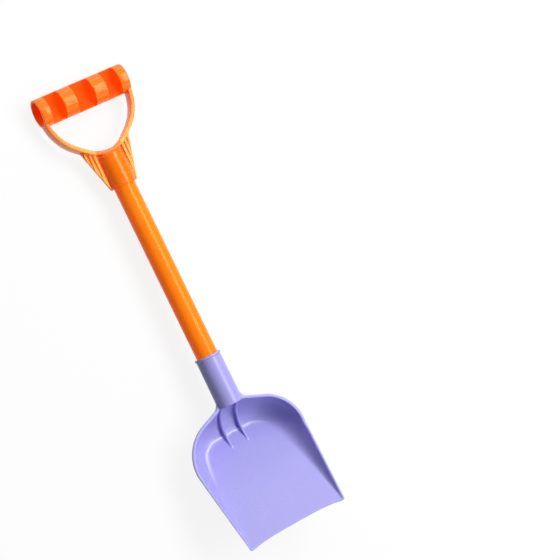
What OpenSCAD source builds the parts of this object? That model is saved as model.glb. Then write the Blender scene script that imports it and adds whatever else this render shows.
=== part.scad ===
// Toy sand shovel: a plastic tube pressed into a moulded D handle and a moulded scoop.
// It is modelled as it lies at rest, open side up, the handle towards +Y:
// the heel of the scoop and the underside of the grip both touch z = 0.

/* [Shaft] */
// Outer diameter of the tube
shaft_d = 20; // [16:0.5:24]
// Wall of the tube
shaft_wall = 1.5; // [1:0.1:3]
// Length of tube that shows between the two sockets
shaft_shown = 168; // [100:1:260]
// Depth of tube in the handle's socket
handle_grasp = 27; // [15:1:35]
// Depth of tube in the scoop's socket
scoop_grasp = 42; // [25:1:50]
// Radial clearance of the tube in its sockets
socket_clear = 0.05; // [0.02:0.01:0.2]

/* [Grip] */
// Length of the grip, which is also the outer width of the D
grip_l = 87; // [76:1:110]
// Outer diameter of the grip
grip_d = 26.4; // [22:0.2:32]
// Wall of the hollow grip
grip_wall = 2.2; // [1.4:0.1:3.5]
// Height of the grip's axis over the lower end of the handle's socket
grip_rise = 87; // [80:1:110]
// Width of the window in the middle of the front
centre_window = 17.4; // [10:0.2:20]
// Width of each of the two shells beside it, which are open at the back
band_w = 12.5; // [8:0.5:15]
// Width of each of the two outer windows in the front
side_window = 13.5; // [8:0.5:15]
// Thickness of the wall at mid depth that floors the windows
mid_wall_t = 1.8; // [1:0.1:3]
// Thickness of the walls beside the windows
partition_t = 1.8; // [1.2:0.1:2.5]

/* [D and web] */
// Thickness of the D's arm, seen from the front
arm_t = 3.7; // [2.4:0.1:5]
// Depth of the arm from front to back
arm_depth = 12.6; // [7:0.2:14]
// Inner radius at the bottom of the D
d_bottom_r = 28; // [20:0.1:30]
// Inner radius at the sides of the D
d_side_r = 41.5; // [36:0.1:44]
// Drop of the D's widest level below the grip's axis
d_widest_drop = 8.4; // [6:0.2:16]
// Angle that the web's edges make with the shaft
web_angle = 15.4; // [8:0.2:18]
// Half width of the web at the lower end of the socket
web_foot = 13.1; // [12.4:0.1:14]
// Height over the socket's lower end at which the web's edges reach the arm
web_top = 44; // [40:0.5:46]
// Thickness of the web
web_t = 2.2; // [1.5:0.1:4]
// Depth of the web's ribs from front to back at their upper ends, from which they taper to the web
rib_depth = 10.4; // [4:0.2:12]
// Width of a rib
rib_w = 2.1; // [1.2:0.1:2.8]
// Distance of the first rib's middle from the shaft's axis
rib_first = 14.4; // [13:0.1:16]
// Distance from one rib to the next
rib_pitch = 3.6; // [3:0.1:4.5]
// Ribs on each side
ribs = 3; // [1:1:3]
// Width of the bead along the web's edge
bead_w = 1.2; // [0.8:0.1:2]
// Depth of that bead from front to back
bead_depth = 3.2; // [3:0.2:8]

/* [Handle socket] */
// Wall of the socket
handle_socket_wall = 1.85; // [1.4:0.05:3]
// Thickness of its closed upper end
handle_cap = 4; // [2:0.5:6]
// Rounding of its upper edge
handle_socket_round = 1.8; // [0.5:0.1:1.8]
// Height of the lip round its mouth
handle_lip_h = 1.8; // [1:0.1:4]
// Projection of that lip
handle_lip_out = 0.4; // [0.2:0.1:1]

/* [Scoop socket] */
// Wall of the socket at its mouth
scoop_socket_wall = 1.55; // [1.2:0.05:3]
// Growth of its radius from the mouth to the bowl
scoop_socket_flare = 0.35; // [0:0.05:1.5]
// Thickness of its closed lower end
scoop_cap = 6; // [3:0.5:8]
// Length by which that end stands into the bowl
socket_step = 7.2; // [4:0.2:9]
// Height of the lip round its mouth
scoop_lip_h = 2.6; // [1:0.1:5]
// Projection of that lip
scoop_lip_out = 0.7; // [0.3:0.1:1.5]
// Radius of the webs that lead from the socket into the rim
throat_r = 9; // [4:0.5:14]

/* [Scoop bowl] */
// Length of the bowl along the shaft
pan_l = 126.8; // [110:0.2:160]
// Width of the bowl between its front corners
front_w = 99.4; // [88:0.2:116]
// Angle by which each side draws in towards the front
side_taper = 5.2; // [0:0.1:8]
// Angle by which the rear rim sweeps away from the socket
rear_sweep = 21.8; // [12:0.2:28]
// Radius of the two rear corners of the rim
corner_r = 38.2; // [25:0.2:40]
// Height of the rear rim over the shaft's axis
rim_h = 1.5; // [0:0.1:4]
// Depth of the bowl at its heel
bowl_depth = 31.6; // [22:0.2:38]
// Distance of the heel's crease from the middle of the rear rim
crease_at = 33.1; // [26:0.1:38]
// Width of the straight stretch of the crease
crease_w = 33; // [26:0.5:40]
// Angle of the flat floor to the shaft
floor_slope = 29.8; // [24:0.1:33]
// Thickness of the bowl
pan_wall = 1.8; // [1.4:0.1:3]
// Height of the rim over the floor at the front corners
corner_h = 0.4; // [0.2:0.1:3]
// Rim beside the floor at the front corners
corner_ledge = 1; // [0.6:0.1:3]
// Hollow of the front edge between its corners
front_hollow = 2.7; // [0:0.1:6]
// Projection of the lip round the rear of the rim
rim_lip_out = 0.8; // [0.3:0.1:1.5]
// Height of that lip
rim_lip_h = 2.5; // [1.5:0.1:4]

/* [Fins] */
// Distance of each fin from the middle of the bowl
fin_x = 8.4; // [6:0.1:9.5]
// Thickness of a fin at its ridge
fin_t = 1.8; // [1.2:0.1:3]
// Growth of that thickness down to the root
fin_draft = 0.4; // [0:0.1:1]
// Run of a fin along the floor, past the crease
fin_tip_run = 13.5; // [6:0.5:24]

/* [Hidden] */
$fn = 96;
// Overrun of cuts past a surface, and of joints into the piece they belong to
over = 0.5;
// Overlap of the D's arm with the top of the socket
arm_seat = 0.2;

shaft_r = shaft_d / 2;
bore_r = shaft_r + socket_clear;
grip_r = grip_d / 2;

handle_socket_r = bore_r + handle_socket_wall;
handle_socket_l = handle_grasp + handle_cap;
d_low = [0, handle_socket_l - arm_seat + arm_t + d_bottom_r];
d_side = [grip_l / 2 - arm_t - d_side_r, grip_rise - d_widest_drop];
arc_step = 4;

scoop_mouth_r = bore_r + scoop_socket_wall;
scoop_socket_l = scoop_grasp + scoop_cap;
apex = [0, scoop_socket_l - socket_step];
front_corner = [front_w / 2, apex[1] + pan_l];
crease_y = apex[1] + crease_at;
floor_h = rim_h - bowl_depth;

// Half the outline of the D: an arc at the bottom, a tangent, an arc at the side
d_run = d_side - d_low;
d_turn = atan2(d_run[1], d_run[0]) - acos((d_bottom_r - d_side_r) / norm(d_run));

function spread(a, b, step) = let (n = ceil(abs(b - a) / step)) [for (i = [0:n]) a + (b - a) * i / n];
function on_circle(c, r, a) = c + r * [cos(a), sin(a)];
function flip_x(points) = [for (i = [len(points) - 1:-1:0]) [-points[i][0], points[i][1]]];
function d_half(grow) = concat(
    [for (a = spread(-90, d_turn, arc_step)) on_circle(d_low, d_bottom_r + grow, a)],
    [for (a = spread(d_turn, asin(d_widest_drop / (d_side_r + grow)), arc_step))
        on_circle(d_side, d_side_r + grow, a)]);

// Plan of the scoop's rim, x across and y from the socket's mouth to the front edge
rear_dir = [cos(rear_sweep), sin(rear_sweep)];
side_dir = [-sin(side_taper), cos(side_taper)];
rear_run = cross(front_corner - apex, side_dir) / cross(rear_dir, side_dir);
corner_turn = 90 + side_taper - rear_sweep;
corner_run = corner_r * tan(corner_turn / 2);
rear_tangent = apex + (rear_run - corner_run) * rear_dir;
side_tangent = apex + rear_run * rear_dir + corner_run * side_dir;
corner_centre = on_circle(rear_tangent, corner_r, rear_sweep + 90);

// Stations run from the middle of the rear rim round one corner to the front edge
rear_n = 6;
corner_n = 10;
side_n = 12;
stations = rear_n + corner_n + side_n;
wall_n = 8;
front_n = 12;
// Shares of the floor's curved edge: where the corner ends, and its two inner control points
floor_corner_share = 0.35;
floor_curve_shares = [[0.59, 0], [0.83, 0.34]];
// Share of the wall's run across at which its profile is steered
wall_curve_share = 0.8;
// Share of the side over which the rim's lip fades, and the share of it that is left
lip_fade_share = 0.15;
lip_left_share = 0.15;
lip_root_share = sqrt(1 - rim_lip_h / bowl_depth);

function mix(a, b, f) = a + (b - a) * f;
function unit(v) = v / norm(v);
function bezier2(a, b, c, f) = mix(mix(a, b, f), mix(b, c, f), f);
function bezier3(a, b, c, d, f) = mix(bezier2(a, b, c, f), bezier2(b, c, d, f), f);
function round_corner(k) = (k - rear_n) / corner_n;
function along_side(k) = (k - rear_n - corner_n) / side_n;

function rim_angle(k) = k <= rear_n ? rear_sweep - 90
    : k <= rear_n + corner_n ? mix(rear_sweep - 90, side_taper, round_corner(k))
    : side_taper;
function lip_out(k) = rim_lip_out * (k <= rear_n + corner_n ? 1
    : max(lip_left_share, 1 - along_side(k) / lip_fade_share));
function rim_plan(k, inset) = k <= rear_n
    ? mix(apex + [0, inset / cos(rear_sweep)], on_circle(rear_tangent, -inset, rear_sweep - 90),
        k / rear_n)
    : k <= rear_n + corner_n ? on_circle(corner_centre, corner_r - inset, rim_angle(k))
    : on_circle(mix(side_tangent, front_corner, along_side(k)), -inset, side_taper);

// Heights: the floor is one plane, and the rim is level until it climbs along the sides
function floor_z(y) = floor_h + (y - crease_y) * tan(floor_slope);
rim_climb = (floor_z(front_corner[1]) + corner_h - rim_h) / (front_corner[1] - side_tangent[1]);
function rim_z(y) = rim_h + max(0, y - side_tangent[1]) * rim_climb;
function rim_point(k, inset) = let (p = rim_plan(k, inset), q = rim_plan(k, 0)) [p[0], p[1], rim_z(q[1])];

floor_start = [crease_w / 2, crease_y];
floor_end = front_corner - [pan_wall + corner_ledge, 0];
function floor_curve(f) = let (s = floor_end - floor_start, c = floor_curve_shares)
    bezier3(floor_start, floor_start + [s[0] * c[0][0], s[1] * c[0][1]],
        floor_start + [s[0] * c[1][0], s[1] * c[1][1]], floor_end, f);
function floor_plan(k) = k <= rear_n ? [floor_start[0] * k / rear_n, crease_y]
    : k <= rear_n + corner_n ? floor_curve(floor_corner_share * round_corner(k))
    : floor_curve(mix(floor_corner_share, 1, along_side(k)));
function floor_point(k) = let (p = floor_plan(k)) [p[0], p[1], floor_z(p[1])];

// Inner wall at station k: it leaves the floor level at the rear, or in its plane, and ends steep at the rim
function wall_steer(k) =
    let (a = floor_point(k), p = mix(a, rim_point(k, pan_wall + lip_out(k)), wall_curve_share))
    [p[0], p[1], max(a[2], floor_z(p[1]))];
function wall_point(k, f) =
    bezier2(floor_point(k), wall_steer(k), rim_point(k, pan_wall + lip_out(k)), f);
function wall_up(k, f) = mix(wall_steer(k) - floor_point(k),
    rim_point(k, pan_wall + lip_out(k)) - wall_steer(k), f);
function wall_along(k, f) = k == 0 ? [1, 0, 0]
    : wall_point(min(k + 1, stations), f) - wall_point(k - 1, f);
function wall_out(k, f) = unit(cross(wall_along(k, f), wall_up(k, f)));
floor_out = [0, sin(floor_slope), -cos(floor_slope)];
function mitre(a, b) = (a + b) / (1 + a * b);
function outer_point(k, f) = wall_point(k, f)
    + pan_wall * (f == 0 ? mitre(floor_out, wall_out(k, 0)) : wall_out(k, f));

// Cross-section of the bowl at station k: up the inside, over the rim's lip, down the outside
function section(k) = let (root = outer_point(k, lip_root_share), edge = rim_point(k, 0))
    concat([for (j = [0:wall_n]) wall_point(k, j / wall_n)],
        [edge, [edge[0], edge[1], root[2]], root],
        [for (j = [wall_n - 1:-1:0]) outer_point(k, j / wall_n)]);
half_sections = [for (k = [0:stations]) section(k)];
sections = concat([for (k = [stations:-1:1]) [for (p = half_sections[k]) [-p[0], p[1], p[2]]]],
    half_sections);
section_len = len(sections[0]);
last = 2 * stations;

// Front edge of the floor: a shallow hollow arc, inside and outside
front_in = half_sections[stations][0];
front_out = half_sections[stations][section_len - 1];
function front_row(corner) = [for (i = [1:front_n - 1])
    let (s = 2 * i / front_n - 1, y = corner[1] - front_hollow * (1 - s * s))
    [corner[0] * s, y, corner[2] + (y - corner[1]) * tan(floor_slope)]];

// Resting place: heel and grip at z = 0, the middle of the length at y = 0
heel = [-(shaft_shown + crease_y + pan_wall * tan(floor_slope / 2)), floor_h - pan_wall];
rest_run = [grip_rise - heel[0], -heel[1]];
rest_tilt = asin(grip_r / norm(rest_run)) - atan2(rest_run[1], rest_run[0]);
rest_lift = grip_r - grip_rise * sin(rest_tilt);
rest_front = -(shaft_shown + front_out[1]) * cos(rest_tilt) - front_out[2] * sin(rest_tilt);
rest_back = grip_rise * cos(rest_tilt) + grip_r;

module at_rest() {
    translate([0, -(rest_front + rest_back) / 2, rest_lift]) rotate([rest_tilt, 0, 0]) children();
}

// The scoop's own frame: origin in the mouth of its socket, +Y towards the front edge
module at_scoop() {
    translate([0, -shaft_shown, 0]) rotate([0, 0, 180]) children();
}

// A turned piece along +Y: radius and height pairs from its lower end up
module turned(profile) {
    rotate([-90, 0, 0]) rotate_extrude() polygon(profile);
}

module round_bar(r, l) {
    rotate([0, 90, 0]) cylinder(r = r, h = l, center = true);
}

module flat_bar(depth) {
    linear_extrude(height = depth, center = true) children();
}

// All in front of the mid wall (side 1) or behind it (side -1), from x to x + w
module half_cut(x, w, side) {
    translate([x, -grip_d, side > 0 ? mid_wall_t / 2 : -mid_wall_t / 2 - grip_d])
        cube([w, 2 * grip_d, grip_d]);
}

// Hollow shell with windows down to its mid wall in front, and between them at the back the open
// hollow of each band
module grip() {
    inner = centre_window / 2;
    outer = inner + band_w;
    hollow_w = band_w - 2 * partition_t;
    translate([0, grip_rise, 0]) difference() {
        round_bar(grip_r, grip_l);
        half_cut(-inner, centre_window, 1);
        for (x = [outer, -outer - side_window]) half_cut(x, side_window, 1);
        for (x = [inner + partition_t, -outer + partition_t]) {
            half_cut(x, hollow_w, -1);
            translate([x + hollow_w / 2, 0, 0]) round_bar(grip_r - grip_wall, hollow_w);
        }
        intersection() {
            round_bar(grip_r - grip_wall, grip_l + 2 * over);
            half_cut(-grip_l, 2 * grip_l, -1);
        }
    }
}

// Open end of the grip, up to the wall beside its outer window
module grip_bores() {
    floor_x = centre_window / 2 + band_w + side_window + partition_t;
    depth = grip_l / 2 + over - floor_x;
    for (side = [-1, 1])
        translate([side * (floor_x + depth / 2), grip_rise, 0]) round_bar(grip_r - grip_wall, depth);
}

module d_shape(grow, above) {
    half = d_half(grow);
    rise = [[half[len(half) - 1][0], grip_rise + above]];
    polygon(concat(flip_x(concat(half, rise)), half, rise));
}

module web_shape(inset, top) {
    foot = web_foot - inset;
    head = foot + top * tan(web_angle);
    polygon([[-foot, 0], [foot, 0], [head, top], [-head, top]]);
}

module web_ribs() {
    for (side = [-1, 1], i = [0:ribs - 1]) {
        x = rib_first + i * rib_pitch;
        foot = (x - web_foot) / tan(web_angle);
        translate([side * x - rib_w / 2, 0, 0]) rotate([90, 0, 90]) linear_extrude(height = rib_w)
            polygon([[foot, -web_t / 2], [web_top, -rib_depth / 2], [web_top, rib_depth / 2],
                [foot, web_t / 2]]);
    }
}

// Web between socket and arm, with its beads and ribs, all below the opening of the D
module web() {
    flat_bar(web_t) difference() {
        web_shape(0, web_top);
        d_shape(0, 0);
    }
    flat_bar(bead_depth) difference() {
        web_shape(0, web_top);
        web_shape(bead_w, web_top + over);
        d_shape(0, 0);
    }
    intersection() {
        flat_bar(rib_depth) difference() {
            web_shape(0, web_top);
            d_shape(0, 0);
        }
        web_ribs();
    }
}

module handle_socket() {
    lip_r = handle_socket_r + handle_lip_out;
    round_c = [handle_socket_r - handle_socket_round, handle_socket_l - handle_socket_round];
    turned(concat([[0, 0], [lip_r, 0], [lip_r, handle_lip_h - handle_lip_out],
        [handle_socket_r, handle_lip_h]],
        [for (a = spread(0, 90, 15)) on_circle(round_c, handle_socket_round, a)],
        [[0, handle_socket_l]]));
}

module d_handle() {
    color([1, 0.48, 0.08]) at_rest() difference() {
        union() {
            grip();
            flat_bar(arm_depth) difference() {
                d_shape(arm_t, 0);
                d_shape(0, over);
            }
            web();
            handle_socket();
        }
        grip_bores();
        translate([0, -over, 0]) rotate([-90, 0, 0]) cylinder(r = bore_r, h = handle_grasp + over);
    }
}

module shaft() {
    tube_l = handle_grasp + shaft_shown + scoop_grasp;
    color([1, 0.45, 0.1]) at_rest() translate([0, handle_grasp, 0]) rotate([90, 0, 0]) difference() {
        cylinder(r = shaft_r, h = tube_l);
        translate([0, 0, -over]) cylinder(r = shaft_r - shaft_wall, h = tube_l + 2 * over);
    }
}

module scoop_socket() {
    lip_r = scoop_mouth_r + scoop_lip_out;
    end_r = scoop_mouth_r + scoop_socket_flare;
    turned([[0, 0], [lip_r, 0], [lip_r, scoop_lip_h - scoop_lip_out], [scoop_mouth_r, scoop_lip_h],
        [end_r, scoop_socket_l], [0, scoop_socket_l]]);
}

// Web at rim height on each side of the socket: a hollow arc from the socket to the rear rim
module throat() {
    side = scoop_mouth_r + scoop_socket_flare;
    turn = 90 - rear_sweep;
    run = throat_r * tan(turn / 2);
    corner = [side, apex[1] + side * tan(rear_sweep)];
    arc_centre = corner + [throat_r, -run];
    rim_end = corner + run * rear_dir;
    sunk = (pan_wall + rim_lip_out) / 2;
    root = side - scoop_socket_wall / 2;
    translate([0, 0, rim_h - rim_lip_h]) linear_extrude(height = rim_lip_h)
        polygon(concat([[root, arc_centre[1]]],
            [for (a = spread(180, 90 + rear_sweep, arc_step)) on_circle(arc_centre, throat_r, a)],
            [rim_end + sunk * [-sin(rear_sweep), cos(rear_sweep)],
            [root, apex[1] + root * tan(rear_sweep) + sunk / cos(rear_sweep)]]));
}

function quad(a, b, c, d, turned) = turned ? [[a, b, d], [b, c, d]] : [[a, b, c], [a, c, d]];

// Bowl of even thickness, lofted through the cross-sections and closed by its floor
module bowl() {
    m = section_len;
    inner_row = last * m + m;
    outer_row = inner_row + front_n - 1;
    function at(i, j) = i * m + j;
    function front(row, side_j, i) = i == 0 ? at(0, side_j) : i == front_n ? at(last, side_j) : row + i - 1;
    function floor_faces(j, row) = let (r = stations + rear_n, l = stations - rear_n, e = front_n / 2)
        concat(
            [[at(r + 1, j), at(l, j), at(l - 1, j)]],
            [for (i = [l:r - 1]) [at(r + 1, j), at(i + 1, j), at(i, j)]],
            [for (k = [rear_n + 1:stations - 2]) each quad(at(stations - k, j), at(stations - k - 1, j),
                at(stations + k + 1, j), at(stations + k, j), false)],
            [for (i = [0:e - 1]) [at(1, j), front(row, j, i), front(row, j, i + 1)]],
            [for (i = [e:front_n - 1]) [at(last - 1, j), front(row, j, i), front(row, j, i + 1)]],
            [[at(1, j), front(row, j, e), at(last - 1, j)]]);
    function reverse(faces) = [for (f = faces) [f[2], f[1], f[0]]];
    function end_faces(i) = let (w = wall_n) concat(
        [for (j = [0:w - 2]) each quad(at(i, j), at(i, m - 1 - j), at(i, m - 2 - j), at(i, j + 1), false)],
        [for (j = [w + 1:w + 3]) [at(i, w), at(i, j + 1), at(i, j)]],
        [[at(i, w), at(i, w - 1), at(i, w + 4)]]);
    polyhedron(
        points = concat([for (s = sections) each s], front_row(front_in), front_row(front_out)),
        faces = concat(
            [for (i = [0:last - 1], j = [0:m - 2])
                each quad(at(i, j), at(i + 1, j), at(i + 1, j + 1), at(i, j + 1), i < stations)],
            floor_faces(0, inner_row),
            reverse(floor_faces(m - 1, outer_row)),
            [for (i = [0:front_n - 1]) each quad(front(inner_row, 0, i), front(outer_row, m - 1, i),
                front(outer_row, m - 1, i + 1), front(inner_row, 0, i + 1), false)],
            end_faces(last),
            reverse(end_faces(0))));
}

// A fin's ridge leaves the socket's end steeply, follows the bowl and dies out on the floor
fin_wall_n = 9;
fin_floor_n = 6;
fin_crease_share = 0.6;
fin_curve_shares = [[0.18, 0.62], [0.7, 1.03]];
fin_start = [scoop_socket_l - over, rim_h];
fin_end = [crease_y + fin_tip_run, floor_z(crease_y + fin_tip_run)];
function fin_steer(s) = fin_start + [s[0] * (crease_y - fin_start[0]), s[1] * (floor_h - fin_start[1])];
function fin_ridge(f) =
    bezier3(fin_start, fin_steer(fin_curve_shares[0]), fin_steer(fin_curve_shares[1]), fin_end, f);
// Point of the inner wall at a distance x from the middle, near the rear
function wall_at_x(x, f) = wall_point(rear_n * x / wall_point(rear_n, f)[0], f);
function fin_root(x, i) = i <= fin_wall_n
    ? let (f = 1 - i / fin_wall_n, p = wall_at_x(x, f))
        [x, p[1], p[2]] - pan_wall / 2 * [0, sin(90 * f), cos(90 * f)]
    : let (y = crease_y + fin_tip_run * (i - fin_wall_n) / fin_floor_n)
        [x, y, floor_z(y)] + pan_wall / 2 * floor_out;
function fin_share(i) = i <= fin_wall_n ? fin_crease_share * i / fin_wall_n
    : mix(fin_crease_share, 1, (i - fin_wall_n) / fin_floor_n);

module fin(x) {
    rows = fin_wall_n + fin_floor_n;
    half = fin_t / 2;
    foot = half + fin_draft / 2;
    polyhedron(
        points = [for (i = [0:rows]) let (g = fin_ridge(fin_share(i)))
            each [[x - half, g[0], g[1]], [x + half, g[0], g[1]],
                fin_root(x + foot, i), fin_root(x - foot, i)]],
        faces = concat(
            [for (i = [0:rows - 1], j = [0:3]) let (a = 4 * i, b = (j + 1) % 4)
                each quad(a + j, a + 4 + j, a + 4 + b, a + b, false)],
            [[0, 1, 2], [0, 2, 3]],
            [[4 * rows, 4 * rows + 2, 4 * rows + 1], [4 * rows, 4 * rows + 3, 4 * rows + 2]]));
}

module scoop() {
    color([0.68, 0.67, 0.93]) at_rest() at_scoop() difference() {
        union() {
            bowl();
            scoop_socket();
            throat();
            mirror([1, 0, 0]) throat();
            fin(fin_x);
            fin(-fin_x);
        }
        translate([0, -over, 0]) rotate([-90, 0, 0]) cylinder(r = bore_r, h = scoop_grasp + over);
    }
}

d_handle();
shaft();
scoop();
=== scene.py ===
"""Toy sand shovel, lying open side up: a lilac scoop, an orange tube and an orange D handle."""

from math import acos, asin, atan2, cos, degrees, pi, radians, sin, sqrt, tan

import bmesh
import bpy
from mathutils import Matrix, Vector

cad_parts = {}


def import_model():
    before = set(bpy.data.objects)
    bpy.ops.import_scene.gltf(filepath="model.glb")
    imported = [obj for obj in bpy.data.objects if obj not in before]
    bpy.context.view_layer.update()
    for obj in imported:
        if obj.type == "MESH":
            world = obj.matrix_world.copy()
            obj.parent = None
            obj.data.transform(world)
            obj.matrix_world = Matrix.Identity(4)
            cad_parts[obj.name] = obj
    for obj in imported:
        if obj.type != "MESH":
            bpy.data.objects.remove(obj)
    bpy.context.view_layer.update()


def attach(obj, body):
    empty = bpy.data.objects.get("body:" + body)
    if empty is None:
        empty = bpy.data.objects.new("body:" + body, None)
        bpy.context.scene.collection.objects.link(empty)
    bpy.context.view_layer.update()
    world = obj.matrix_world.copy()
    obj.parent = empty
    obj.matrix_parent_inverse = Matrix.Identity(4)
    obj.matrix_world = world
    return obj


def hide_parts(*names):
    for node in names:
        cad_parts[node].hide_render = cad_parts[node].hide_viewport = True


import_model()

# Sizes: millimetres and degrees, until a moulding is laid down in its resting place
SHAFT_R = 10
SHAFT_WALL = 1.5
SHAFT_SHOWN = 168
SHAFT_EDGE_R = 0.3
HANDLE_GRASP = 27
SCOOP_GRASP = 42
BORE_R = 10.05
BORE_MOUTH_R = 0.4

GRIP_L = 87
GRIP_R = 13.2
GRIP_WALL = 2.2
GRIP_RISE = 87
CENTRE_WINDOW = 17.4
BAND_W = 12.5
SIDE_WINDOW = 13.5
MID_WALL_T = 1.8
PARTITION_T = 1.8
GRIP_EDGE_R = 0.4
GRIP_EDGE_ANGLE = 40

ARM_T = 3.7
ARM_DEPTH = 12.6
ARM_EDGE_R = 0.7
D_BOTTOM_R = 28
D_SIDE_R = 41.5
D_WIDEST_DROP = 8.4
ARM_SEAT = 0.2
WEB_ANGLE = 15.4
WEB_FOOT = 13.1
WEB_TOP = 44
WEB_T = 2.2
WEB_EDGE_R = 0.2
WEB_START = 0.3
WEB_OVER_BORE = 1.5
RIB_DEPTH = 10.4
RIB_W = 2.1
RIB_EDGE_R = 0.45
RIB_FIRST = 14.4
RIB_PITCH = 3.6
RIBS = 3
BEAD_W = 1.2
BEAD_DEPTH = 3.2
BEAD_EDGE_R = 0.3

HANDLE_SOCKET_R = 11.9
HANDLE_SOCKET_L = 31
HANDLE_SOCKET_ROUND = 1.8
HANDLE_LIP_H = 1.8
HANDLE_LIP_OUT = 0.4
HANDLE_LIP_RS = 0.35, 0.25, 0.2

SCOOP_SOCKET_R = 11.6
SCOOP_SOCKET_FLARE = 0.35
SCOOP_SOCKET_L = 48
SOCKET_STEP = 7.2
SCOOP_LIP_H = 2.6
SCOOP_LIP_OUT = 0.7
SCOOP_LIP_RS = 0.4, 0.35, 0.4
SCOOP_SOCKET_ROUND = 0.9
THROAT_R = 9
THROAT_EDGE_R = 0.3
THROAT_INSET = 0.02
THROAT_SUNK = 0.8

PAN_L = 126.8
FRONT_W = 99.4
SIDE_TAPER = 5.2
REAR_SWEEP = 21.8
CORNER_R = 38.2
RIM_H = 1.5
BOWL_DEPTH = 31.6
CREASE_AT = 33.1
CREASE_W = 33
FLOOR_SLOPE = 29.8
PAN_WALL = 1.8
CORNER_H = 0.4
CORNER_LEDGE = 1
FRONT_HOLLOW = 2.7
RIM_LIP_OUT = 0.8
RIM_LIP_H = 2.5

FIN_X = 8.4
FIN_T = 1.8
FIN_DRAFT = 0.4
FIN_TIP_RUN = 13.5
FIN_SUNK = 0.5

# How far the web starts inside its socket, how far a cut runs past a face, and how far the
# hollow behind the grip's middle wall stays off its skin
SUNK = 0.7
OVERRUN = 1
HOLLOW_INSET = 0.1

# How the three pieces lie at rest: turned about the shaft's cross line, then moved and lifted
REST_TILT = -3.2457172
REST_SHIFT = 117.32109
REST_LIFT = 18.12578

MM = 0.001
FULL_TURN = 2 * pi


def along_shaft():
    """From the handle's frame, whose origin is its socket's mouth, to rest, in metres."""
    return (Matrix.Scale(MM, 4) @ Matrix.Translation((0, REST_SHIFT, REST_LIFT))
            @ Matrix.Rotation(radians(REST_TILT), 4, "X"))


def at_scoop():
    """The scoop's own frame: origin in its socket's mouth, +Y towards its front edge."""
    return along_shaft() @ Matrix.Translation((0, -SHAFT_SHOWN, 0)) @ Matrix.Rotation(pi, 4, "Z")


def mix(a, b, share):
    return a + (b - a) * share


def on_circle(centre, radius, angle):
    """Point of a circle in plan, at an angle in degrees."""
    turn = radians(angle)
    return Vector((centre[0] + radius * cos(turn), centre[1] + radius * sin(turn)))


def steps(first, last, count):
    """count + 1 even values from first to last."""
    return [mix(first, last, i / count) for i in range(count + 1)]


def sheet(columns, rows, place):
    """A grid of quads whose corner in column i and row j is moved to place(i, j)."""
    bm = bmesh.new()
    bmesh.ops.create_grid(bm, x_segments=columns, y_segments=rows, size=1)
    for v in bm.verts:
        v.co = place(round((v.co.x + 1) / 2 * columns), round((v.co.y + 1) / 2 * rows))
    return bm


def close_up(bm, gap=0.003):
    """Merges the seams, fills open ends and turns every face outwards."""
    bmesh.ops.remove_doubles(bm, verts=bm.verts, dist=gap)
    bmesh.ops.dissolve_degenerate(bm, edges=bm.edges, dist=gap / 10)
    ends = [e for e in bm.edges if e.is_boundary]
    if ends:
        bmesh.ops.holes_fill(bm, edges=ends, sides=0)
    bmesh.ops.recalc_face_normals(bm, faces=bm.faces)
    return bm


def softened(bm, radius, segments=3, angle=30):
    """Rounds every outer edge whose faces turn by more than the angle."""
    edges = [e for e in bm.edges if e.is_convex and e.calc_face_angle() > radians(angle)]
    bmesh.ops.bevel(bm, geom=edges, offset=radius, offset_type="OFFSET", segments=segments,
                    profile=0.5, affect="EDGES", clamp_overlap=True, material=-1)
    return bm


def rounded_corners(points, segments=5):
    """A plan line whose corners (x, y, radius) with a radius become arcs."""
    line = []
    for i, (x, y, radius) in enumerate(points):
        corner = Vector((x, y))
        if not radius:
            line.append(corner)
            continue
        before = (Vector(points[i - 1][:2]) - corner).normalized()
        after = (Vector(points[(i + 1) % len(points)][:2]) - corner).normalized()
        half = before.angle(after) / 2
        centre = corner + (before + after).normalized() * radius / sin(half)
        start = corner + before * radius / tan(half) - centre
        sweep = start.angle_signed(corner + after * radius / tan(half) - centre)
        line += [centre + Matrix.Rotation(-sweep * i / segments, 2) @ start
                 for i in range(segments + 1)]
    return line


def turned(profile, around=128):
    """A solid of revolution about the Y axis from (radius, height) points."""
    bm = bmesh.new()
    verts = [bm.verts.new((p[0], p[1], 0)) for p in profile]
    edges = [bm.edges.new(pair) for pair in zip(verts, verts[1:])]
    bmesh.ops.spin(bm, geom=verts + edges, cent=(0, 0, 0), axis=(0, 1, 0), angle=FULL_TURN,
                   steps=around, use_merge=True)
    return close_up(bm)


def plate(outline, depth, edge=0.35):
    """A flat piece of even depth in the middle plane, with softened edges."""
    bm = bmesh.new()
    face = bm.faces.new([bm.verts.new((x, y, -depth / 2)) for x, y in outline])
    raised = bmesh.ops.extrude_face_region(bm, geom=[face])["geom"]
    bmesh.ops.translate(bm, vec=(0, 0, depth),
                        verts=[g for g in raised if isinstance(g, bmesh.types.BMVert)])
    bmesh.ops.recalc_face_normals(bm, faces=bm.faces)
    return softened(bm, edge, 2)


def mirrored(bm):
    """The same piece on the other side of the shovel's middle."""
    twin = bm.copy()
    bmesh.ops.scale(twin, vec=(-1, 1, 1), verts=twin.verts)
    bmesh.ops.reverse_faces(twin, faces=twin.faces)
    return twin


def together(parts):
    """Several meshes in one, their seams not yet merged."""
    whole = parts[0]
    for part in parts[1:]:
        passing = bpy.data.meshes.new("passing")
        part.to_mesh(passing)
        part.free()
        whole.from_mesh(passing)
        bpy.data.meshes.remove(passing)
    return whole


def as_object(name, bm):
    mesh = bpy.data.meshes.new(name)
    bm.to_mesh(mesh)
    bm.free()
    piece = bpy.data.objects.new(name, mesh)
    bpy.context.scene.collection.objects.link(piece)
    return piece


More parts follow.
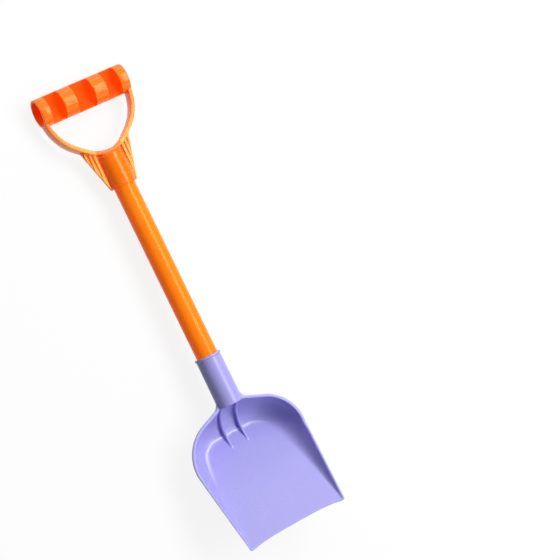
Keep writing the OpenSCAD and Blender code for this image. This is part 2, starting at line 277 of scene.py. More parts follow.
def one_moulding(name, solids, cuts):
    """Joins closed solids into one skin and takes the cuts out of it."""
    piece = as_object(name, solids[0])
    for kind, bm in [("UNION", s) for s in solids[1:]] + [("DIFFERENCE", c) for c in cuts]:
        tool = as_object("tool", bm)
        join = piece.modifiers.new("join", "BOOLEAN")
        join.operation, join.solver, join.object = kind, "EXACT", tool
        joined = bpy.data.meshes.new_from_object(
            piece.evaluated_get(bpy.context.evaluated_depsgraph_get()))
        piece.modifiers.clear()
        piece.data = joined
        bpy.data.objects.remove(tool)
    piece.data.name = name
    return piece


def laid_down(piece, place, node, finish, smooth=32):
    """Puts a finished moulding in its resting place, for the CAD node that it stands for."""
    piece.data.transform(place)
    piece.data.shade_smooth()
    piece.data.set_sharp_from_angle(angle=radians(smooth))
    piece.data.materials.clear()
    piece.data.materials.append(finish)
    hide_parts(node)
    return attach(piece, "root")


# The D: an arc at the bottom, a tangent and an arc at each side

D_LOW = Vector((0, HANDLE_SOCKET_L - ARM_SEAT + ARM_T + D_BOTTOM_R))
D_SIDE = Vector((GRIP_L / 2 - ARM_T - D_SIDE_R, GRIP_RISE - D_WIDEST_DROP))
D_RUN = D_SIDE - D_LOW
D_TURN = degrees(atan2(D_RUN.y, D_RUN.x) - acos((D_BOTTOM_R - D_SIDE_R) / D_RUN.length))
D_END = 2
D_LOW_STEPS, D_SIDE_STEPS = 16, 18


def d_line(grow):
    """Right half of the D's outline, grown outwards, from its lowest point to inside the grip."""
    low = [on_circle(D_LOW, D_BOTTOM_R + grow, a) for a in steps(-90, D_TURN, D_LOW_STEPS)]
    side = [on_circle(D_SIDE, D_SIDE_R + grow, a) for a in steps(D_TURN, D_END, D_SIDE_STEPS)]
    return low + side


def arm():
    """The D's arm: a rounded strap swept round the D, hollowed at its ends to meet the grip."""
    inner, outer = d_line(0), d_line(ARM_T)
    run = [(-1, i) for i in range(len(inner) - 1, 0, -1)] + [(1, i) for i in range(len(inner))]
    half = ARM_DEPTH / 2
    strap = rounded_corners([(across, z, ARM_EDGE_R) for across, z in
                             ((0, -half), (0, half), (ARM_T, half), (ARM_T, -half))], 4)
    strap.append(strap[0])

    def place(i, j):
        side, k = run[i]
        across, z = strap[j]
        p = inner[k].lerp(outer[k], across / ARM_T)
        return Vector((side * p.x, p.y, z))
    return close_up(sheet(len(run) - 1, len(strap) - 1, place))


def arm_height(x):
    """Height of the middle of the arm's thickness over a point of the web."""
    line = d_line(ARM_T / 2)
    a, b = next(pair for pair in zip(line, line[1:]) if pair[1].x >= x)
    return mix(a.y, b.y, (x - a.x) / (b.x - a.x))


def web_edge(x):
    """Height at which the web's slanting edge passes a distance from the middle."""
    return max(0, (x - WEB_FOOT) / tan(radians(WEB_ANGLE)))


def web():
    """The thin web on both sides of the socket, which meet under the arm, with beads and ribs."""
    root, over_bore = BORE_R + SUNK, HANDLE_GRASP + WEB_OVER_BORE
    head = next(x for x in steps(WEB_FOOT, 30, 200) if web_edge(x) >= arm_height(x))
    top = [(x, arm_height(x)) for x in steps(head, 0, 12)]
    right = [(root, WEB_START), (WEB_FOOT, WEB_START)] + top
    left = [(-x, y) for x, y in reversed(right[:-1])]
    parts = [plate(right + left + [(-root, over_bore), (root, over_bore)], WEB_T, WEB_EDGE_R)]
    bead = plate([(WEB_FOOT - BEAD_W, WEB_START), (WEB_FOOT, WEB_START), (head, arm_height(head)),
                  (head - BEAD_W, arm_height(head - BEAD_W))], BEAD_DEPTH, BEAD_EDGE_R)
    parts += [bead, mirrored(bead)]
    for i in range(RIBS):
        a = RIB_FIRST + i * RIB_PITCH - RIB_W / 2
        b = a + RIB_W
        rib = plate([(a, web_edge(a) + WEB_START), (b, web_edge(b) + WEB_START),
                     (b, arm_height(b)), (a, arm_height(a))], RIB_DEPTH, RIB_EDGE_R)
        foot = web_edge(RIB_FIRST + i * RIB_PITCH)
        for v in rib.verts:
            share = (v.co.y - foot) / (WEB_TOP - foot)
            v.co.z *= mix(WEB_T / RIB_DEPTH, 1, max(0, share))
        parts += [rib, mirrored(rib)]
    return parts


def socket(lip_r, lip_h, lip_out, lip_rs, start_r, end_r, length, end_round, segments):
    """A round socket along +Y with a lip at its mouth; lip_rs round the lip's three corners."""
    mouth_r, back_r, root_r = lip_rs
    return turned(rounded_corners([
        (0, 0, 0), (lip_r, 0, mouth_r), (lip_r, lip_h - lip_out, back_r), (start_r, lip_h, root_r),
        (end_r, length, end_round), (0, length, 0)], segments))


def handle_socket():
    return socket(HANDLE_SOCKET_R + HANDLE_LIP_OUT, HANDLE_LIP_H, HANDLE_LIP_OUT, HANDLE_LIP_RS,
                  HANDLE_SOCKET_R, HANDLE_SOCKET_R, HANDLE_SOCKET_L, HANDLE_SOCKET_ROUND, 6)


def bore(depth):
    """Cut for the tube, with a rounded mouth."""
    wide = BORE_R + BORE_MOUTH_R
    mouth = [on_circle((wide, BORE_MOUTH_R), BORE_MOUTH_R, a) for a in steps(270, 180, 5)]
    return turned([(0, -OVERRUN), (wide, -OVERRUN)] + mouth + [(BORE_R, depth), (0, depth)])


def grip():
    """Grip with windows down to its mid wall in front, and open bands between them at the back."""
    inner = CENTRE_WINDOW / 2
    outer = inner + BAND_W
    end = outer + SIDE_WINDOW
    fronts = [(-end, -outer), (-inner, inner), (outer, end)]
    near, far = inner + PARTITION_T, outer - PARTITION_T
    backs = [(-far, -near), (near, far)]
    across = sorted({x for pocket in fronts + backs for x in pocket} | {-GRIP_L / 2, GRIP_L / 2})
    arc = 44

    def at(x, radius, angle):
        y, z = on_circle((GRIP_RISE, 0), radius, angle)
        return Vector((x, y, z))

    def edge(radius):
        return degrees(asin(MID_WALL_T / 2 / radius))
    low = edge(GRIP_R)
    around = [-low] + steps(low, 180 - low, arc) + steps(180 + low, 360 - low, arc)
    skin = sheet(len(across) - 1, len(around) - 1, lambda i, j: at(across[i], GRIP_R, around[j]))
    gone = []
    for f in skin.faces:
        x, z = f.calc_center_median().x, f.calc_center_median().z
        if abs(z) > MID_WALL_T / 2 and any(a < x < b for a, b in (fronts if z > 0 else backs)):
            gone.append(f)
    bmesh.ops.delete(skin, geom=gone, context="FACES")
    parts = [skin]
    bore_r = GRIP_R - GRIP_WALL
    dip = edge(bore_r)
    hollow = steps(dip, -180 - dip, arc)
    open_band = [(GRIP_R, -low)] + [(bore_r, -a) for a in hollow] + [(GRIP_R, low - 180)]
    window = [(GRIP_R, low), (GRIP_R, 180 - low)]
    for line, places in ((window, fronts), (open_band, backs)):
        for place in places:
            parts.append(sheet(1, len(line) - 1, lambda i, j: at(place[i], *line[j])))
    for side in (-1, 1):
        run = [(GRIP_L / 2, GRIP_R), (GRIP_L / 2, bore_r), (end + PARTITION_T, bore_r)]
        parts.append(sheet(2, len(around), lambda i, j: at(
            side * run[i][0], run[i][1], around[j % len(around)])))
    bm = close_up(together(parts))
    return softened(bm, GRIP_EDGE_R, angle=GRIP_EDGE_ANGLE)


def across_bar(radius, length):
    """A round bar along the grip's axis."""
    half = length / 2
    bm = turned([(0, -half), (radius, -half), (radius, half), (0, half)], 96)
    bmesh.ops.rotate(bm, cent=(0, 0, 0), matrix=Matrix.Rotation(pi / 2, 3, "Z"), verts=bm.verts)
    bmesh.ops.translate(bm, vec=(0, GRIP_RISE, 0), verts=bm.verts)
    return bm


def hollow_behind():
    """Cut for the hollow behind the grip's mid wall, from one open end to the other."""
    inside_r = GRIP_R - GRIP_WALL - HOLLOW_INSET
    ends = CENTRE_WINDOW / 2 + BAND_W + SIDE_WINDOW + PARTITION_T + OVERRUN
    bm = across_bar(inside_r, 2 * ends)
    bmesh.ops.bisect_plane(bm, geom=bm.verts[:] + bm.edges[:] + bm.faces[:], clear_outer=True,
                           plane_co=(0, 0, -MID_WALL_T / 2), plane_no=(0, 0, 1))
    bmesh.ops.holes_fill(bm, edges=[e for e in bm.edges if e.is_boundary], sides=0)
    bmesh.ops.recalc_face_normals(bm, faces=bm.faces)
    return bm


def d_handle():
    past_ends = GRIP_L + 4 * OVERRUN
    strap = one_moulding("strap", [arm()], [across_bar(GRIP_R - GRIP_WALL / 2, past_ends)])
    ends = bmesh.new()
    ends.from_mesh(strap.data)
    bpy.data.objects.remove(strap)
    return one_moulding("handle_moulding", [grip(), ends, handle_socket()] + web(),
                        [bore(HANDLE_GRASP), hollow_behind()])


def tube():
    """The tube, from its end in the handle's socket to its end in the scoop's."""
    low, high = -(SHAFT_SHOWN + SCOOP_GRASP), HANDLE_GRASP
    inner = SHAFT_R - SHAFT_WALL
    ring = rounded_corners([(r, y, SHAFT_EDGE_R) for r, y in
                            ((inner, low), (SHAFT_R, low), (SHAFT_R, high), (inner, high))], 3)
    return as_object("tube", turned(ring + ring[:1]))


# Plan of the scoop's rim, x across and y from its socket's mouth to its front edge

APEX = Vector((0, SCOOP_SOCKET_L - SOCKET_STEP))
FRONT_CORNER = Vector((FRONT_W / 2, APEX.y + PAN_L))
CREASE_Y = APEX.y + CREASE_AT
FLOOR_H = RIM_H - BOWL_DEPTH
REAR_DIR = on_circle((0, 0), 1, REAR_SWEEP)
SIDE_DIR = on_circle((0, 0), 1, 90 + SIDE_TAPER)
REAR_RUN = (FRONT_CORNER - APEX).cross(SIDE_DIR) / REAR_DIR.cross(SIDE_DIR)
CORNER_RUN = CORNER_R * tan(radians(90 + SIDE_TAPER - REAR_SWEEP) / 2)
REAR_TANGENT = APEX + (REAR_RUN - CORNER_RUN) * REAR_DIR
SIDE_TANGENT = APEX + REAR_RUN * REAR_DIR + CORNER_RUN * SIDE_DIR
CORNER_CENTRE = on_circle(REAR_TANGENT, CORNER_R, REAR_SWEEP + 90)
SLOPE = tan(radians(FLOOR_SLOPE))
FLOOR_UP = Vector((0, -sin(radians(FLOOR_SLOPE)), cos(radians(FLOOR_SLOPE))))
FORWARD = Vector((0, cos(radians(FLOOR_SLOPE)), sin(radians(FLOOR_SLOPE))))

# Stations run from 0 in the middle of the rear rim to 1 and 2 at the ends of its corner,
# and to the last at the front
LAST = 3
FLOOR_CORNER_SHARE = 0.35
FLOOR_CURVE_SHARES = ((0.59, 0), (0.83, 0.34))
WALL_STEER_SHARE = 0.8
LIP_FADE_SHARE = 0.15
LIP_LEFT_SHARE = 0.15
LIP_ROOT_SHARE = sqrt(1 - RIM_LIP_H / BOWL_DEPTH)


def floor_z(y):
    return FLOOR_H + (y - CREASE_Y) * SLOPE


RIM_CLIMB = (floor_z(FRONT_CORNER.y) + CORNER_H - RIM_H) / (FRONT_CORNER.y - SIDE_TANGENT.y)


def bezier(points, share):
    while len(points) > 1:
        points = [a.lerp(b, share) for a, b in zip(points, points[1:])]
    return points[0]


def rim_angle(s):
    return mix(REAR_SWEEP - 90, SIDE_TAPER, min(max(s - 1, 0), 1))


def rim_plan(s, inset):
    if s <= 1:
        return (APEX + Vector((0, inset / cos(radians(REAR_SWEEP))))).lerp(
            on_circle(REAR_TANGENT, -inset, REAR_SWEEP - 90), s)
    if s <= 2:
        return on_circle(CORNER_CENTRE, CORNER_R - inset, rim_angle(s))
    return on_circle(SIDE_TANGENT.lerp(FRONT_CORNER, s - 2), -inset, SIDE_TAPER)


def rim_point(s, inset):
    p = rim_plan(s, inset)
    return Vector((p.x, p.y, RIM_H + max(0, rim_plan(s, 0).y - SIDE_TANGENT.y) * RIM_CLIMB))


def lip_out(s):
    return RIM_LIP_OUT * (1 if s <= 2 else max(LIP_LEFT_SHARE, 1 - (s - 2) / LIP_FADE_SHARE))


def floor_edge(s):
    """The crease between floor and wall."""
    start = Vector((CREASE_W / 2, CREASE_Y))
    if s <= 1:
        p = Vector((start.x * s, start.y))
    else:
        end = FRONT_CORNER - Vector((PAN_WALL + CORNER_LEDGE, 0))
        run = end - start
        steers = [start + Vector((run.x * a, run.y * b)) for a, b in FLOOR_CURVE_SHARES]
        share = mix(0, FLOOR_CORNER_SHARE, s - 1) if s <= 2 else mix(FLOOR_CORNER_SHARE, 1, s - 2)
        p = bezier([start] + steers + [end], share)
    return Vector((p.x, p.y, floor_z(p.y)))


def wall_line(s):
    """Points that steer the wall: it leaves the floor level, or in its plane, and ends steep."""
    low, top = floor_edge(s), rim_point(s, PAN_WALL + lip_out(s))
    steer = low.lerp(top, WALL_STEER_SHARE)
    return [low, Vector((steer.x, steer.y, max(low.z, floor_z(steer.y)))), top]


def wall_point(s, share):
    return bezier(wall_line(s), share)


# Rows of faces across a section, from the centre line: floor, fillet, wall and outer wall
FLOOR_ROWS = 7
CREASE_ROWS = 6
CREASE_END = FLOOR_ROWS + CREASE_ROWS
WALL_ROWS = 22
OUTER_ROWS = 18

FLOOR_MIDDLE_POWER = 1.4
FLOOR_SPREAD_POWER = 3.5
CREASE_FILLET = 1.7
FILLET_REACH_SHARE = 0.3
FILLET_WALL_SHARE = 0.55

# The rim's rounded edges, and how the side rims' inner edge rolls from its corner on
RIM_EDGE_R = 0.35
LIP_EDGE_R = 0.25
LIP_EDGE_SHARE = 0.8
ROLL_SHARE = 0.62
ROLL_FROM, ROLL_RUN = 1.8, 0.3
NEXT_STATION = 0.004


def floor_point(s, share):
    """Point of the floor between its centre line, share 0, and the start of the crease's fillet."""
    edge = floor_edge(s)
    middle_y = mix(CREASE_Y, FRONT_CORNER.y - FRONT_HOLLOW, (s / LAST) ** FLOOR_MIDDLE_POWER)
    y = mix(middle_y, edge.y, share ** FLOOR_SPREAD_POWER)
    return Vector((edge.x * share, y, floor_z(y)))


def inner_line(s):
    """Inner skin of the bowl at a station: floor, fillet and wall, from the centre line up."""
    low, steer, top = wall_line(s)
    reach = (top - low).length
    back = min(CREASE_FILLET, reach * FILLET_REACH_SHARE)
    start = floor_edge(s)
    middle = floor_point(s, 0)
    span = max((start - middle).length, 0.001)
    floor_share = max(0, 1 - back / span)
    wall_share = back / reach * FILLET_WALL_SHARE
    floor_rows = [floor_point(s, floor_share * g) for g in steps(0, 1, FLOOR_ROWS)]
    fillet = [floor_rows[-1], low, wall_point(s, wall_share)]
    fillet_rows = [bezier(fillet, g) for g in steps(0, 1, CREASE_ROWS)[1:]]
    wall_rows = [wall_point(s, g) for g in steps(wall_share, 1, WALL_ROWS)[1:]]
    return floor_rows + fillet_rows + wall_rows


def skin_normals(line, before, after):
    """Outward normals of the bowl's skin along a station's line, from its neighbours' lines."""
    found = []
    for j, p in enumerate(line):
        along = after[j] - before[j]
        up = line[min(j + 1, len(line) - 1)] - line[max(j - 1, 0)]
        n = along.cross(up)
        found.append(n.normalized() if n.length > 1e-7 and j > FLOOR_ROWS else -FLOOR_UP)
    return found


def skin_at(skin, share):
    """Point of the inner or outer skin at a share of the wall's height."""
    at = CREASE_END + share * WALL_ROWS
    i = min(int(at), len(skin) - 2)
    return skin[i].lerp(skin[i + 1], at - i)


def edge_arc(corner, a, b, radius, count):
    """Rounded edge between a corner's two directions, from the first to the second."""
    centre = corner + (a + b) * radius
    return [centre - b * radius * cos(t) - a * radius * sin(t) for t in steps(0, pi / 2, count)]


def section(s):
    """Closed section of the bowl at a station, from the centre line up inside and down outside."""
    line = inner_line(s)
    before, after = inner_line(max(s - NEXT_STATION, 0)), inner_line(min(s + NEXT_STATION, LAST))
    if s < NEXT_STATION:
        before = [Vector((-p.x, p.y, p.z)) for p in after]
    out = [p + n * PAN_WALL for p, n in zip(line, skin_normals(line, before, after))]

    inside, outside = line[-1], rim_point(s, 0)
    rim_w = (outside - inside).length
    outward, down = (outside - inside).normalized(), Vector((0, 0, -1))
    wall_in, wall_l = (line[-2] - inside).normalized(), (inside - line[CREASE_END]).length
    edge = min(RIM_EDGE_R, rim_w / 3)
    rolled = mix(edge, ROLL_SHARE * rim_w, min(max((s - ROLL_FROM) / ROLL_RUN, 0), 1))
    rolled = min(rolled, wall_l / 2)
    lip_low = max(skin_at(out, LIP_ROOT_SHARE).z, inside.z - RIM_LIP_H)
    lip_edge = min(LIP_EDGE_R, (outside.z - lip_low) / 4, lip_out(s) * LIP_EDGE_SHARE)
    lip_corner = Vector((outside.x, outside.y, lip_low))

    wall = [skin_at(line, g) for g in steps(0, 1 - rolled / wall_l, WALL_ROWS)][:-1]
    top_in = edge_arc(inside, wall_in, outward, rolled, 3)
    top_out = edge_arc(outside, -outward, down, edge, 3)
    under = edge_arc(lip_corner, -down, -outward, lip_edge, 2)
    outer_wall = [skin_at(out, LIP_ROOT_SHARE * (1 - g)) for g in steps(0, 1, OUTER_ROWS)]
    return (line[:CREASE_END] + wall + top_in + [top_in[-1].lerp(top_out[0], 0.5)] + top_out
            + under + outer_wall + out[CREASE_END - 1::-1])


REAR_COLUMNS = 26
CORNER_COLUMNS = 34
SIDE_COLUMNS = 46
EDGE_COLUMNS = 4


def bowl():
    """Bowl of even thickness: a closed section carried round half the rim, then mirrored."""
    stations = (steps(0, 1, REAR_COLUMNS) + steps(1, 2, CORNER_COLUMNS)[1:]
                + steps(2, LAST, SIDE_COLUMNS)[1:])
    sections = [section(s) for s in stations]
    last = sections.pop()
    edge_r = PAN_WALL / 2
    for turn in steps(0, pi / 2, EDGE_COLUMNS):
        row = []
        for p, q in zip(last, reversed(last)):
            middle = p.lerp(q, 0.5)
            row.append(middle + (p - middle) * cos(turn) + FORWARD * edge_r * (sin(turn) - 1))
        sections.append(row)
    bm = sheet(len(sections) - 1, len(last) - 1, lambda i, j: sections[i][j])
    return close_up(together([bm, mirrored(bm)]))


# A fin's ridge leaves the socket's end steeply, follows the bowl and dies out on the floor
FIN_ROWS = 48
FIN_CREASE_SHARE = 0.6
FIN_CURVE_SHARES = ((0.18, 0.62), (0.7, 1.03))
FIN_START = Vector((SCOOP_SOCKET_L - FIN_SUNK, RIM_H))
FIN_CROWN_ROWS = 8


def fin_ridge(share):
    end_y = CREASE_Y + FIN_TIP_RUN
    run = Vector((CREASE_Y, FLOOR_H)) - FIN_START
    steers = [FIN_START + Vector((run.x * a, run.y * b)) for a, b in FIN_CURVE_SHARES]
    return bezier([FIN_START] + steers + [Vector((end_y, floor_z(end_y)))], share)


def fin_root(share):
    """Point under the bowl's inner skin that a fin's side runs down to, in the fin's plane."""
    if share <= FIN_CREASE_SHARE:
        f = 1 - share / FIN_CREASE_SHARE
        p = wall_point(FIN_X / wall_point(1, f).x, f)
        return Vector((p.y, p.z)) - PAN_WALL / 2 * Vector((sin(pi / 2 * f), cos(pi / 2 * f)))
    y = CREASE_Y + FIN_TIP_RUN * (share - FIN_CREASE_SHARE) / (1 - FIN_CREASE_SHARE)
    return Vector((y, floor_z(y))) - PAN_WALL / 2 * Vector((FLOOR_UP.y, FLOOR_UP.z))


def fin():
    """A thin fin with a rounded ridge and sides that spread a little to its root."""
    half, foot, crown = FIN_T / 2, (FIN_T + FIN_DRAFT) / 2, FIN_CROWN_ROWS

    def place(i, j):
        share = i / FIN_ROWS
        top, root = fin_ridge(share), fin_root(share)
        down = (root - top).normalized()
        if j in (0, crown + 2, crown + 3):
            side, p = (foot if j == crown + 2 else -foot), root
        else:
            turn = pi * (j - 1) / crown
            side, p = -half * cos(turn), top + down * half * (1 - sin(turn))
        return Vector((FIN_X + side, p.x, p.y))
    return close_up(sheet(FIN_ROWS, crown + 3, place))


def throat():
    """Web at rim height beside the socket: a hollow arc from the socket to the rear rim."""
    side = SCOOP_SOCKET_R + SCOOP_SOCKET_FLARE
    run = THROAT_R * tan(radians(90 - REAR_SWEEP) / 2)
    corner = Vector((side, APEX.y + side * tan(radians(REAR_SWEEP))))
    centre = corner + Vector((THROAT_R, -run))
    rim_end = corner + run * REAR_DIR
    in_rim = (PAN_WALL + RIM_LIP_OUT) / 2
    root = side - THROAT_SUNK
    root_y = APEX.y + root * tan(radians(REAR_SWEEP)) + in_rim / cos(radians(REAR_SWEEP))
    outline = [Vector((root, centre.y))]
    outline += [on_circle(centre, THROAT_R, a) for a in steps(180, 90 + REAR_SWEEP, 14)]
    outline += [rim_end + in_rim * on_circle((0, 0), 1, REAR_SWEEP + 90), Vector((root, root_y))]
    bm = plate(outline, RIM_LIP_H - 2 * THROAT_INSET, THROAT_EDGE_R)
    bmesh.ops.translate(bm, vec=(0, 0, RIM_H - RIM_LIP_H / 2), verts=bm.verts)
    return bm


def scoop_socket():
    return socket(SCOOP_SOCKET_R + SCOOP_LIP_OUT, SCOOP_LIP_H, SCOOP_LIP_OUT, SCOOP_LIP_RS,
                  SCOOP_SOCKET_R, SCOOP_SOCKET_R + SCOOP_SOCKET_FLARE, SCOOP_SOCKET_L,
                  SCOOP_SOCKET_ROUND, 5)


def scoop():
    solids = [bowl(), scoop_socket()]
    for right in (throat(), fin()):
        solids += [right, mirrored(right)]
    return one_moulding("scoop_moulding", solids, [bore(SCOOP_GRASP)])


# Materials

class Signal:
    """An output of a shader node that takes part in arithmetic."""

    def __init__(self, finish, socket):
        self.finish, self.socket = finish, socket

    def _with(self, kind, a, b):
        return self.finish.node("ShaderNodeMath", {"operation": kind}, {0: a, 1: b})

    def __add__(self, other):
        return self._with("ADD", self, other)

    def __sub__(self, other):
        return self._with("SUBTRACT", self, other)

    def __rsub__(self, other):
        return self._with("SUBTRACT", other, self)

    def __mul__(self, other):
        return self._with("MULTIPLY", self, other)

    def __truediv__(self, other):
        return self._with("DIVIDE", self, other)

    def __pow__(self, other):
        return self._with("POWER", self, other)

    def __gt__(self, other):
        return self._with("GREATER_THAN", self, other)

    def __lt__(self, other):
        return self._with("LESS_THAN", self, other)

    __radd__, __rmul__ = __add__, __mul__


class Finish:
    """The nodes of a material, or of the world."""

    def __init__(self, owner):
        self.owner = owner
        owner.use_nodes = True
        self.tree = owner.node_tree
        self.tree.nodes.clear()

    def node(self, kind, settings=None, inputs=None, output=0):
        """A node with its settings and its inputs' values or links; gives one of its outputs."""
        made = self.tree.nodes.new(kind)
        for name, value in (settings or {}).items():
            setattr(made, name, value)
        for name, value in (inputs or {}).items():
            if isinstance(value, Signal):
                self.tree.links.new(value.socket, made.inputs[name])
            else:
                made.inputs[name].default_value = value
        return Signal(self, made.outputs[output]) if made.outputs else None

    def blend(self, share, a, b):
        """Colour a turning to b."""
        mixed = {"data_type": "RGBA", "clamp_factor": True}
        return self.node("ShaderNodeMix", mixed, {0: share, 6: a, 7: b}, 2)

    def ends(self, shader, kind="ShaderNodeOutputMaterial"):
        self.node(kind, None, {"Surface": shader})
        return self.owner


def rgb(*srgb):
    """A colour from 0 to 255 as a monitor shows it, as linear values with alpha."""
    linear = [(c / 255 / 12.92) if c <= 10 else ((c / 255 + 0.055) / 1.055) ** 2.4 for c in srgb]
    return (*linear, 1)


def noise(f, where, scale, detail, **more):
    return f.node("ShaderNodeTexNoise", None,
                  {"Vector": where, "Scale": scale, "Detail": detail, **more})


def stretched(f, where, scale):
    return f.node("ShaderNodeMapping", None, {"Vector": where, "Scale": scale})


def fade(f, value, low, high):
    """0 where the value is past low, turning to 1 at high."""
    return f.node("ShaderNodeMapRange", None, {"Value": value, "From Min": low, "From Max": high})


def position(f, where):
    return [f.node("ShaderNodeSeparateXYZ", None, {"Vector": where}, k) for k in range(3)]


# Patterns over the surface, as waves a metre, and how far each shows
FLOW_SCALE, FLOW_IN_TONE, FLOW_IN_ROUGH = 28, 0.35, 0.1
GRAIN_SCALE, GRAIN_HEIGHT = 2200, 0.0015
WAVE_SCALE, WAVE_HEIGHT = 90, 0.05
SCUFF_SCALE, SCUFF_IN_ROUGH = (900, 40, 900), 0.05
IOR = 1.48
BUMP = {"Strength": 0.35, "Distance": 0.0006}
DEPTH = {"Subsurface Weight": 0.12, "Subsurface Radius": (1, 0.4, 0.3), "Subsurface Scale": 0.003}


def plastic(name, skin, *patches):
    """Glossy moulded plastic: flow marks in the colour, fine mould texture, soft scuffs, a red glow
    painted in as emission, and patches laid over it, some of them painted light or shade.
    """
    f = Finish(bpy.data.materials.new(name))
    where = f.node("ShaderNodeTexCoord", None, None, "Object")
    flow = noise(f, where, FLOW_SCALE, 3, Roughness=0.5, Distortion=0.6)
    grain = noise(f, where, GRAIN_SCALE, 2)
    wave = noise(f, where, WAVE_SCALE, 1)
    scuff = noise(f, stretched(f, where, SCUFF_SCALE), 1, 2)
    tone, painted_glow = f.blend(flow * FLOW_IN_TONE, skin["colour"], skin["deep"]), skin["painted_glow"]
    rough = skin["rough"] + (scuff - 0.5) * SCUFF_IN_ROUGH + (flow - 0.5) * FLOW_IN_ROUGH
    for patch in patches:
        share = patch["place"](f, where)
        tone = f.blend(share, tone, patch["colour"])
        rough = rough + share * patch["rougher"]
        if "painted_glow" in patch:
            painted_glow = f.blend(share, painted_glow, patch["painted_glow"])
    height = grain * GRAIN_HEIGHT + wave * WAVE_HEIGHT
    bump = f.node("ShaderNodeBump", None, {**BUMP, "Height": height})
    return f.ends(f.node("ShaderNodeBsdfPrincipled", {"subsurface_method": "RANDOM_WALK"}, {
        "Base Color": tone, "Roughness": rough, "IOR": IOR, "Normal": bump,
        "Specular IOR Level": skin["gloss"], "Specular Tint": skin["shine"],
        "Emission Color": painted_glow, "Emission Strength": 1, **DEPTH}))


# Where the patches lie, in metres: painted shade and glow in the grip's windows, painted light on
# the web and D arm, a painted highlight on the crease line, and scuffs
GRIP_AXIS = along_shaft() @ Vector((0, GRIP_RISE, 0))
WINDOW_R = (GRIP_R - 0.6) * MM
WINDOWS_END = (CENTRE_WINDOW / 2 + BAND_W + SIDE_WINDOW + 0.3) * MM
WEB_SIDE = (HANDLE_SOCKET_R + 0.7) * MM
WEB_MIDDLE = along_shaft() @ Vector((0, 20, 0))
WEB_PALE, ARM_PALE = 0.014, 0.06
CREASE = at_scoop() @ Vector((0, CREASE_Y, floor_z(CREASE_Y)))
FLOOR_FACING = (at_scoop().to_3x3() @ FLOOR_UP).normalized()
LINE_HALF_W = 0.3
LINE_END, LINE_FULL = 0.036, 0.004
LINE_SIDE_END, LINE_SIDE_FULL = 0.036, 0.018
SCRATCH_SCALE, SCRATCH_FROM, SCRATCH_FULL, SCRATCH_SHARE = (700, 12, 700), 0.56, 0.75, 0.3


def painted_shade_in_windows(f, where):
    """1 in the windows of the grip: painted shade, a deeper red for these shaded recesses, and a
    stronger painted red glow.
    """
    x, y, z = position(f, where)
    across, up = y - GRIP_AXIS.y, z - GRIP_AXIS.z
    radius = (across * across + up * up) ** 0.5
    return (radius < WINDOW_R) * (x * x < WINDOWS_END ** 2)


def painted_light_on_web(f, where):
    """1 on the ribbed web beside the socket and less up the D arm: painted light, a paler orange
    that lifts the shade between the ribs.
    """
    x, y, _ = position(f, where)
    return (x * x > WEB_SIDE ** 2) * fade(f, y, WEB_MIDDLE.y + ARM_PALE, WEB_MIDDLE.y + WEB_PALE)


def painted_highlight_on_crease(f, where):
    """1 on a painted highlight: a pale line where the bowl's wall and the fins' tips leave its
    floor, fading towards the front and out on the right side.
    """
    x, y, z = position(f, where)
    rise = ((y - CREASE.y) * FLOOR_FACING.y + (z - CREASE.z) * FLOOR_FACING.z) / MM
    off = (rise - LINE_HALF_W) / LINE_HALF_W
    return ((1 - off * off) * (off * off < 1) * fade(f, x, LINE_SIDE_END, LINE_SIDE_FULL)
            * fade(f, y, CREASE.y - LINE_END, CREASE.y - LINE_FULL))


def on_scuffs(f, where):
    """Share of fine rubbed marks along the tube."""
    lines = noise(f, stretched(f, where, SCRATCH_SCALE), 1, 3)
    return fade(f, lines, SCRATCH_FROM, SCRATCH_FULL) * SCRATCH_SHARE


WARM, WHITE, NONE = (1, 0.85, 0.55, 1), (1, 1, 1, 1), (0, 0, 0, 1)

# Painted glow: dyed orange plastic carries light round to its shaded side, and a red emission is
# painted in for that light and the red that it adds
handle_finish = plastic(
    "orange_moulded",
    dict(colour=rgb(240, 128, 20), deep=rgb(245, 84, 8), rough=0.2, gloss=0.4, shine=WARM,
         painted_glow=(0.2, 0.01, 0, 1)),
    # painted shade and glow: a deeper red and a stronger red emission in the grip's windows
    dict(place=painted_shade_in_windows, colour=rgb(235, 64, 0), rougher=0.7, painted_glow=(0.42, 0.04, 0, 1)),
    # painted light: a paler orange on the web and the lower D arm
    dict(place=painted_light_on_web, colour=rgb(250, 176, 80), rougher=0.1))
tube_finish = plastic(
    "orange_extruded",
    dict(colour=rgb(225, 138, 24), deep=rgb(225, 124, 18), rough=0.2, gloss=0.26, shine=WARM,
         # painted glow: the tube's red emission
         painted_glow=(0.38, 0.02, 0, 1)),
    dict(place=on_scuffs, colour=rgb(235, 150, 50), rougher=0.1))
scoop_finish = plastic(
    "lilac_moulded",
    dict(colour=rgb(171, 167, 232), deep=rgb(160, 154, 226), rough=0.28, gloss=0.4, shine=WHITE,
         painted_glow=NONE),
    # painted highlight: a pale line along the bowl's crease
    dict(place=painted_highlight_on_crease, colour=rgb(226, 223, 250), rougher=-0.08))

laid_down(d_handle(), along_shaft(), "d_handle", handle_finish)
laid_down(tube(), along_shaft(), "shaft", tube_finish)
laid_down(scoop(), at_scoop(), "scoop", scoop_finish)

# Floor, light and camera, in metres

FLOOR_HALF_W = 6
MATT_TONE, LIT_TONE = (0.9, 0.9, 0.9, 1), (0.36, 0.36, 0.36, 1)
WHITE_SHARE = 0.87
SKY_TONE, FILL = (0.8, 0.8, 0.8, 1), 0.05

# Each lamp's place, its size across and upwards, and its power; all face one point
LAMPS_FACE = (0, 0, 0.02)
LAMPS = {
    "key": ((0.7, 0.1, 1.3), (1.6, 0.62), 23),
    "head": ((0.3, 1.1, 1.0), (1.6, 1.2), 7.5),
    "low": ((0.2, 1.35, 0.2), (1.6, 0.2), 4.5),
    "foot": ((0.4, -1.5, 0.8), (1.4, 1.0), 6),
}

FILM_W, LENS = 36, 113.27
CAMERA_PLACE = (-0.49598, 0.11993, 1.50414)
CAMERA_TURN = (4.9804, -21.7668, -26.503)


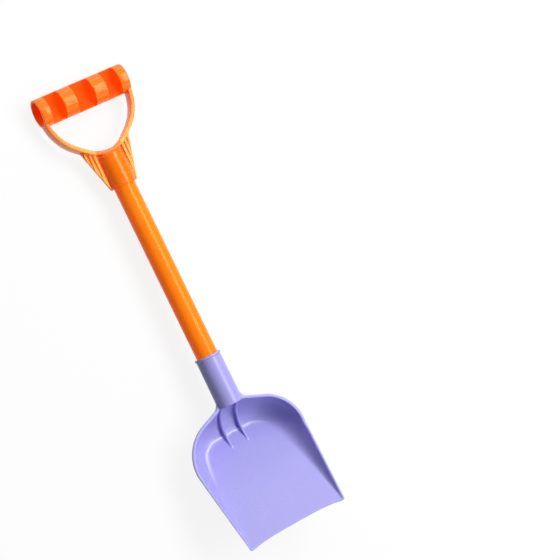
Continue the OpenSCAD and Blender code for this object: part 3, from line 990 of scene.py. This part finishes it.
def floor():
    """White floor, lit as a greyer one, so that it adds little light of its own to the shovel."""
    bm = bmesh.new()
    bmesh.ops.create_grid(bm, x_segments=8, y_segments=8, size=FLOOR_HALF_W)
    piece = as_object("floor", bm)
    f = Finish(bpy.data.materials.new("white_floor"))
    matt = f.node("ShaderNodeBsdfDiffuse", None, {"Color": MATT_TONE})
    lit = f.node("ShaderNodeBsdfDiffuse", None, {"Color": LIT_TONE})
    white = f.node("ShaderNodeEmission", None, {"Color": WHITE, "Strength": 1})
    seen = f.node("ShaderNodeMixShader", None, {0: WHITE_SHARE, 1: matt, 2: white})
    direct = f.node("ShaderNodeLightPath", None, None, "Is Camera Ray")
    mirrored_in = f.node("ShaderNodeLightPath", None, None, "Is Glossy Ray")
    looked_at = direct + mirrored_in * (1 - direct)
    piece.data.materials.append(
        f.ends(f.node("ShaderNodeMixShader", None, {0: looked_at, 1: lit, 2: seen})))


def world():
    """Pale surroundings to the camera, and a weak fill to all else."""
    bpy.context.scene.world = bpy.data.worlds.new("studio")
    f = Finish(bpy.context.scene.world)
    direct = f.node("ShaderNodeLightPath", None, None, "Is Camera Ray")
    strength = f.node("ShaderNodeMapRange", None, {"Value": direct, "To Min": FILL, "To Max": 1})
    f.ends(f.node("ShaderNodeBackground", None, {"Color": SKY_TONE, "Strength": strength}),
           "ShaderNodeOutputWorld")


def softbox(name, place, size, power):
    light = bpy.data.lights.new(name, "AREA")
    light.shape, light.size, light.size_y = "RECTANGLE", *size
    light.energy = power
    lamp = bpy.data.objects.new(name, light)
    bpy.context.scene.collection.objects.link(lamp)
    facing = (Vector(LAMPS_FACE) - Vector(place)).to_track_quat("-Z", "Y")
    lamp.matrix_world = Matrix.Translation(place) @ facing.to_matrix().to_4x4()


def camera():
    made = bpy.data.cameras.new("camera")
    made.sensor_width, made.lens = FILM_W, LENS
    view = bpy.data.objects.new("camera", made)
    bpy.context.scene.collection.objects.link(view)
    view.location = CAMERA_PLACE
    view.rotation_euler = [radians(a) for a in CAMERA_TURN]
    bpy.context.scene.camera = view


floor()
world()
camera()
for lamp_name, facts in LAMPS.items():
    softbox(lamp_name, *facts)
bpy.context.scene.view_settings.view_transform = "Standard"
